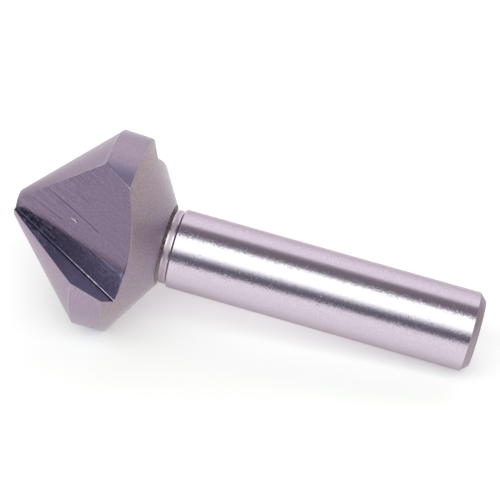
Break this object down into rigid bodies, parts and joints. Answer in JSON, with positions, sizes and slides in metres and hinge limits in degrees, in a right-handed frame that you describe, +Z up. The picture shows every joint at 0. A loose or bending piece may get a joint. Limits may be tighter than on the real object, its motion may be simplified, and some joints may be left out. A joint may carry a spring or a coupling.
{
  "type": "countersink bit",
  "caption": "Countersink bit for right-hand turning: fluted cutting cone, short land, back cone and plain cylindrical shank, lying at rest.",
  "frame": {"origin": "on the table, under the middle of the bit as it lies", "axes": "+Z up, +X level from the point of the bit towards the end of its shank"},
  "size_m": [0.0714, 0.03, 0.028],
  "materials": {
    "tool_steel": "ground and coated high-speed steel: bright ground shank, satin grey cutting faces, dull back cone"
  },
  "bodies": {
    "root": {"countersink_bit": "tool_steel"}
  },
  "joints": []
}
